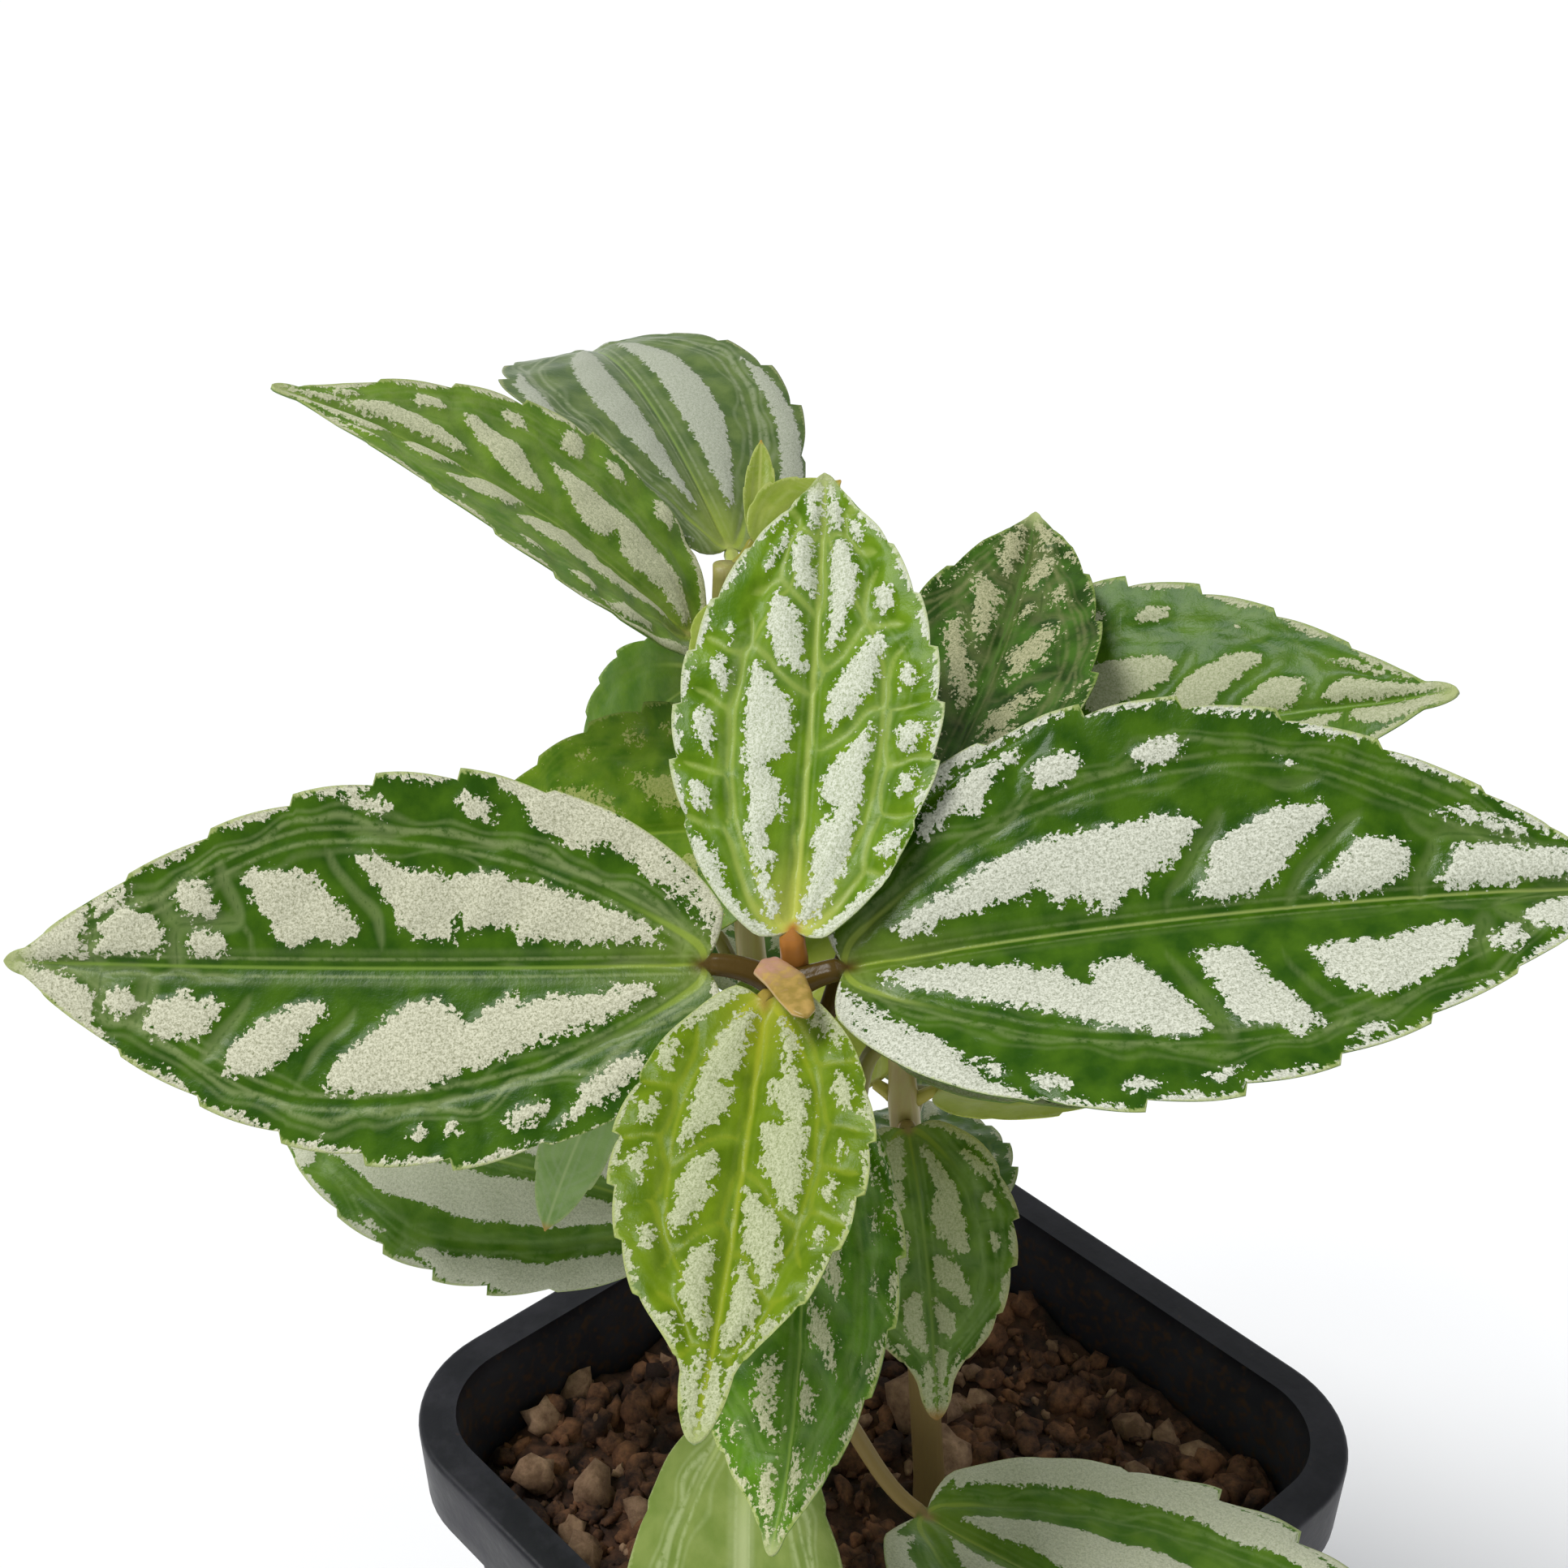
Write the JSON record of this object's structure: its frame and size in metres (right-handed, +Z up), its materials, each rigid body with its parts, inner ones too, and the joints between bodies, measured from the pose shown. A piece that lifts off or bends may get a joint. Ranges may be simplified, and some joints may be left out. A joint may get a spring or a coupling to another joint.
{
  "type": "potted aluminium plant",
  "caption": "Bushy young aluminium plant with toothed, silver-marbled leaves in a square black nursery pot of soil",
  "frame": {"origin": "centre of the underside of the pot, on the surface that the plant stands on", "axes": "+Z is up; the pot sides lie along X and Y; the picture looks towards -X +Y from above, so the corner at +X -Y is nearest the viewer"},
  "size_m": [0.1758, 0.1233, 0.2279],
  "materials": {
    "pot_plastic": "black moulded plastic, semi-matte, dusty outside band",
    "potting_mix": "dark brown moist bark and peat crumbs with pale grit",
    "stem_skin": "green-brown soft stem, slight sheen",
    "marbled_leaf": "satin green leaf skin with raised silver patches",
    "plain_leaf": "satin plain green leaf skin",
    "young_leaf": "satin light-green young leaf skin with orange tip",
    "bud_skin": "thin pink stipule skin"
  },
  "bodies": {
    "root": {"pot": "pot_plastic", "soil": "potting_mix", "main_stem": "stem_skin", "centre_stem": "stem_skin", "rear_stem": "stem_skin", "side_stem": "stem_skin", "left_leaf": "marbled_leaf", "right_leaf": "marbled_leaf", "top_leaf": "marbled_leaf", "front_leaf": "marbled_leaf", "inner_front_leaf": "marbled_leaf", "back_leaf": "marbled_leaf", "lower_left_leaf": "marbled_leaf", "lower_right_leaf": "marbled_leaf", "low_right_leaf": "marbled_leaf", "low_front_leaf": "marbled_leaf", "upper_left_leaf": "marbled_leaf", "upper_left_pair": "young_leaf", "arched_back_leaf": "marbled_leaf", "arched_back_pair": "young_leaf", "tip_leaf_folded": "young_leaf", "tip_leaf_open": "young_leaf", "plain_left_leaf": "plain_leaf", "rear_low_left_leaf": "marbled_leaf", "rear_low_back_leaf": "marbled_leaf", "right_back_leaf": "marbled_leaf", "olive_leaf": "marbled_leaf", "centre_tip_back": "young_leaf", "centre_tip_front": "young_leaf", "shoot_right_leaf": "young_leaf", "shoot_left_leaf": "young_leaf", "hanging_leaf": "marbled_leaf", "hanging_pair": "marbled_leaf", "low_back_leaf": "marbled_leaf", "low_left_leaf": "marbled_leaf", "narrow_tip_leaf": "young_leaf", "side_tip_pair": "young_leaf", "stipule_bud": "bud_skin"}
  },
  "joints": []
}
